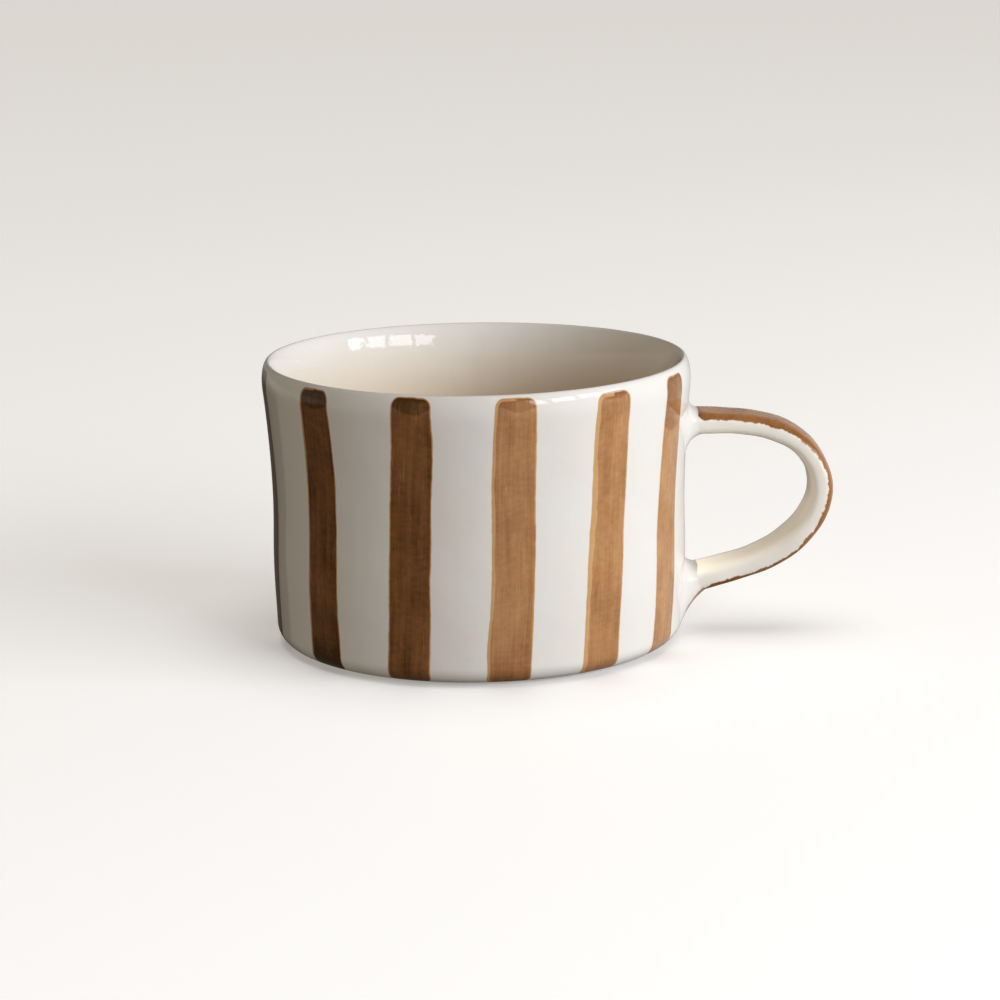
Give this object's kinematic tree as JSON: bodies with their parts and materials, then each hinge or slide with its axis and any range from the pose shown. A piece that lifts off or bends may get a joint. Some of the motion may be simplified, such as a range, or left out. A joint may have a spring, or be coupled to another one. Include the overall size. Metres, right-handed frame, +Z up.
{
  "type": "ceramic mug",
  "caption": "Wide, low glazed stoneware mug with a flared lip, a strap handle for two fingers and painted upright stripes.",
  "frame": {"origin": "middle of the mug's footprint on the table, handle included; the cup's own axis stands 17.5 mm towards -X of it", "axes": "+Z up out of the cup's mouth, +X from the cup towards the handle, +Y away from someone who holds the handle in the right hand"},
  "size_m": [0.1402, 0.1052, 0.0702],
  "materials": {
    "striped_glaze": "clear glossy glaze over cream slip, with brown brush strokes under it; bare clay on the foot ring",
    "handle_glaze": "clear glossy glaze over cream slip, with one brown brush stroke along the outer face",
    "cream_glaze": "clear glossy glaze over cream slip"
  },
  "bodies": {
    "root": {"cup_body": "striped_glaze", "handle_strap": "handle_glaze", "upper_joint": "cream_glaze", "lower_joint": "cream_glaze"}
  },
  "joints": []
}
